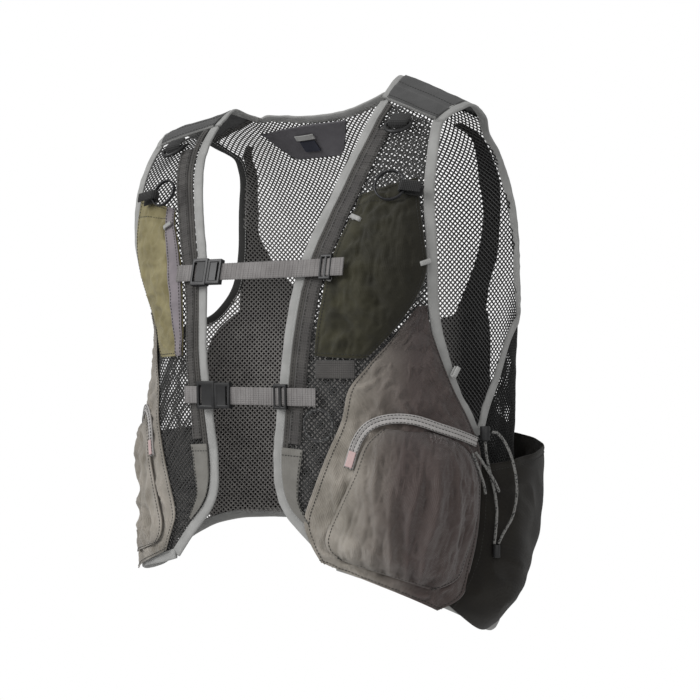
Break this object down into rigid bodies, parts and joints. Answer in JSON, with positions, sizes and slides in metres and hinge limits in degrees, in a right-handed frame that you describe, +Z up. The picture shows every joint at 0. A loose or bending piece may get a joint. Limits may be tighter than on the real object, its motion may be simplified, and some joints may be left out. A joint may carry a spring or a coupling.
{
  "type": "utility vest",
  "caption": "Sleeveless dark net utility vest with light bindings, cloth pockets, chest straps and buckles, held up open as worn.",
  "frame": {"origin": "midway between the two neck points of the shoulder ridge, where the vest hangs on the wearer", "axes": "+X to the wearer's left, -Y to the front, +Z up along the wearer"},
  "size_m": [0.424, 0.2613, 0.4924],
  "materials": {
    "net": "coarse knitted net of dark grey thread, diamond holes",
    "binding": "light grey folded tape, fine twill",
    "yoke": "dark grey plain cloth, fine weave",
    "band": "dark grey plain cloth, crinkled",
    "webbing": "grey ribbed flat webbing",
    "olive": "dark olive ripstop, dull",
    "khaki": "khaki ripstop, dull",
    "taupe": "taupe crinkled nylon with a dull purple sheen",
    "facing": "charcoal plain cloth",
    "plastic": "black moulded plastic, satin",
    "steel": "dark coated steel wire",
    "cord": "black round elastic flecked with white"
  },
  "bodies": {
    "root": {"back_band_left": "olive", "back_band_right": "olive", "back_panel": "net", "back_pocket": "olive", "binding_armhole_left": "binding", "binding_armhole_right": "binding", "binding_front_left": "binding", "binding_front_right": "binding", "binding_hem": "binding", "binding_neck": "binding", "bottle_pocket_left": "olive", "bottle_pocket_right": "olive", "cargo_pocket_left": "taupe", "cargo_pocket_right": "taupe", "chest_pocket_left": "olive", "chest_pocket_right": "khaki", "cord_end": "plastic", "cord_lock": "plastic", "cord_long": "cord", "cord_short": "cord", "cross_webbing_left": "webbing", "d_ring_left": "plastic", "d_ring_right": "plastic", "edge_webbing_left": "webbing", "edge_webbing_right": "webbing", "front_band_left": "band", "front_band_right": "band", "front_panel_left": "net", "front_panel_right": "net", "hang_loop": "binding", "label": "plastic", "lower_anchor_left": "webbing", "lower_anchor_right": "webbing", "lower_plug": "plastic", "lower_pocket_left": "taupe", "lower_pocket_right": "taupe", "lower_slider": "plastic", "lower_socket": "plastic", "lower_strap": "webbing", "neck_facing": "facing", "ring_loop_left": "cord", "ring_tab_left": "webbing", "ring_tab_right": "webbing", "side_ring_left": "steel", "side_ring_right": "steel", "side_tab_left": "plastic", "side_tab_right": "plastic", "upper_anchor_left": "webbing", "upper_anchor_right": "webbing", "upper_plug": "plastic", "upper_slider": "plastic", "upper_socket": "plastic", "upper_strap": "webbing", "yoke_left": "yoke", "yoke_right": "yoke", "zip_band_left": "binding", "zip_band_right": "binding", "zip_cord_long": "cord", "zip_cord_short": "cord"}
  },
  "joints": []
}
